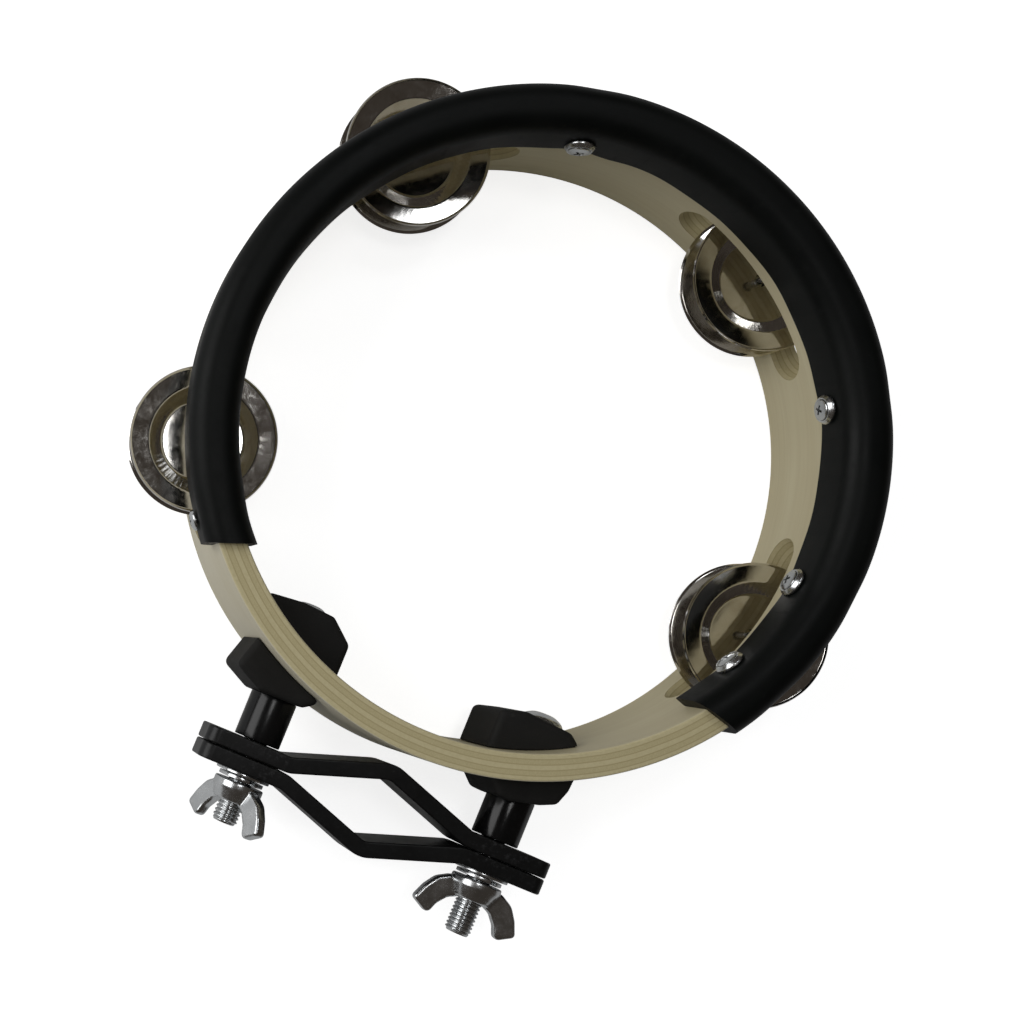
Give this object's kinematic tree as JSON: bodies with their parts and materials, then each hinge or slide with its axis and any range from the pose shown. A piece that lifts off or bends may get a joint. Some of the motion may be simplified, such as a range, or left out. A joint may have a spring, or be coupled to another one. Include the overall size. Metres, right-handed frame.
{
  "type": "headless tambourine with stand clamp",
  "caption": "Headless wooden hoop tambourine with paired metal jingles, a rubber rim guard and a clamp with wing nuts for a stand tube.",
  "frame": {"origin": "the middle of the bare back rim's edge, right behind the clamp; the hoop's axis passes 97.5 mm further along +Y", "axes": "+Z along the hoop's axis from the bare back rim to the guarded front rim; -Y from the hoop's centre to the clamp, along its bolts; X along the clamp's straps"},
  "size_m": [0.2301, 0.2516, 0.0513],
  "materials": {
    "plywood": "pale five-ply birch or maple with a thin clear satin coat, plies bare at the rim",
    "guard_rubber": "smooth soft black rubber with a dull sheen",
    "pad_rubber": "matt moulded charcoal rubber",
    "black_paint": "semi-gloss black coated steel",
    "nickel": "bright nickel-plated pressed steel, slightly hammered and worn",
    "zinc": "bright zinc-plated steel hardware"
  },
  "bodies": {
    "hoop": {"bolt_washer_left": "zinc", "bolt_washer_right": "zinc", "clamp_bolt_left": "zinc", "clamp_bolt_right": "zinc", "guard_cup_washer_1": "zinc", "guard_cup_washer_2": "zinc", "guard_cup_washer_3": "zinc", "guard_cup_washer_4": "zinc", "guard_screw_1": "zinc", "guard_screw_2": "zinc", "guard_screw_3": "zinc", "guard_screw_4": "zinc", "guard_screw_5": "zinc", "inner_pad_left": "pad_rubber", "inner_pad_right": "pad_rubber", "inner_strap": "black_paint", "outer_pad_left": "pad_rubber", "outer_pad_right": "pad_rubber", "rubber_guard": "guard_rubber", "spacer_tube_left": "black_paint", "spacer_tube_right": "black_paint", "wood_shell": "plywood"},
    "jaw": {"outer_strap": "black_paint", "flat_washer_left": "zinc", "flat_washer_right": "zinc", "spring_washer_left": "zinc", "spring_washer_right": "zinc"},
    "wing_nut_left": {"wing_nut_left": "zinc"},
    "wing_nut_right": {"wing_nut_right": "zinc"},
    "pin_1": {"jingle_pin_1": "zinc"},
    "jingle_1_front": {"jingle_1_front": "nickel"},
    "jingle_1_back": {"jingle_1_back": "nickel"},
    "pin_2": {"jingle_pin_2": "zinc"},
    "jingle_2_front": {"jingle_2_front": "nickel"},
    "jingle_2_back": {"jingle_2_back": "nickel"},
    "pin_3": {"jingle_pin_3": "zinc"},
    "jingle_3_front": {"jingle_3_front": "nickel"},
    "jingle_3_back": {"jingle_3_back": "nickel"},
    "pin_4": {"jingle_pin_4": "zinc"},
    "jingle_4_front": {"jingle_4_front": "nickel"},
    "jingle_4_back": {"jingle_4_back": "nickel"}
  },
  "joints": [
    {"name": "pin_1_spin", "type": "hinge", "parent": "hoop", "child": "pin_1", "pos_m": [-0.09044, 0.06242, 0.0175], "axis": [0, 0, 1], "continuous": true},
    {"name": "jingle_1_front_rattle", "type": "slide", "parent": "pin_1", "child": "jingle_1_front", "axis": [0, 0, 1], "range_m": [0, 0.0028]},
    {"name": "jingle_1_back_rattle", "type": "slide", "parent": "pin_1", "child": "jingle_1_back", "axis": [0, 0, 1], "range_m": [0, 0.0006]},
    {"name": "pin_2_spin", "type": "hinge", "parent": "hoop", "child": "pin_2", "pos_m": [-0.06261, 0.17159, 0.0175], "axis": [0, 0, 1], "continuous": true},
    {"name": "jingle_2_front_rattle", "type": "slide", "parent": "pin_2", "child": "jingle_2_front", "axis": [0, 0, 1], "range_m": [0, 0.0028]},
    {"name": "jingle_2_back_rattle", "type": "slide", "parent": "pin_2", "child": "jingle_2_back", "axis": [0, 0, 1], "range_m": [0, 0.0006]},
    {"name": "pin_3_spin", "type": "hinge", "parent": "hoop", "child": "pin_3", "pos_m": [0.05424, 0.17792, 0.0175], "axis": [0, 0, 1], "continuous": true},
    {"name": "jingle_3_front_rattle", "type": "slide", "parent": "pin_3", "child": "jingle_3_front", "axis": [0, 0, 1], "range_m": [0, 0.0028]},
    {"name": "jingle_3_back_rattle", "type": "slide", "parent": "pin_3", "child": "jingle_3_back", "axis": [0, 0, 1], "range_m": [0, 0.0006]},
    {"name": "pin_4_spin", "type": "hinge", "parent": "hoop", "child": "pin_4", "pos_m": [0.0937, 0.0724, 0.0175], "axis": [0, 0, 1], "continuous": true},
    {"name": "jingle_4_front_rattle", "type": "slide", "parent": "pin_4", "child": "jingle_4_front", "axis": [0, 0, 1], "range_m": [0, 0.0028]},
    {"name": "jingle_4_back_rattle", "type": "slide", "parent": "pin_4", "child": "jingle_4_back", "axis": [0, 0, 1], "range_m": [0, 0.0006]},
    {"name": "jaw_slide", "type": "slide", "parent": "hoop", "child": "jaw", "axis": [0, -1, 0], "range_m": [0, 0.0066]},
    {"name": "wing_nut_left_turn", "type": "hinge", "parent": "jaw", "child": "wing_nut_left", "pos_m": [-0.04, -0.0316, 0.024], "axis": [0, -1, 0], "range_deg": [0, 1800]},
    {"name": "wing_nut_right_turn", "type": "hinge", "parent": "jaw", "child": "wing_nut_right", "pos_m": [0.04, -0.0316, 0.024], "axis": [0, -1, 0], "range_deg": [0, 1800]}
  ],
  "couplings": [
    {"joint": "jaw_slide", "follows": "wing_nut_left_turn", "m_per_rad": 0.00019894},
    {"joint": "wing_nut_right_turn", "follows": "wing_nut_left_turn", "ratio": 1}
  ]
}
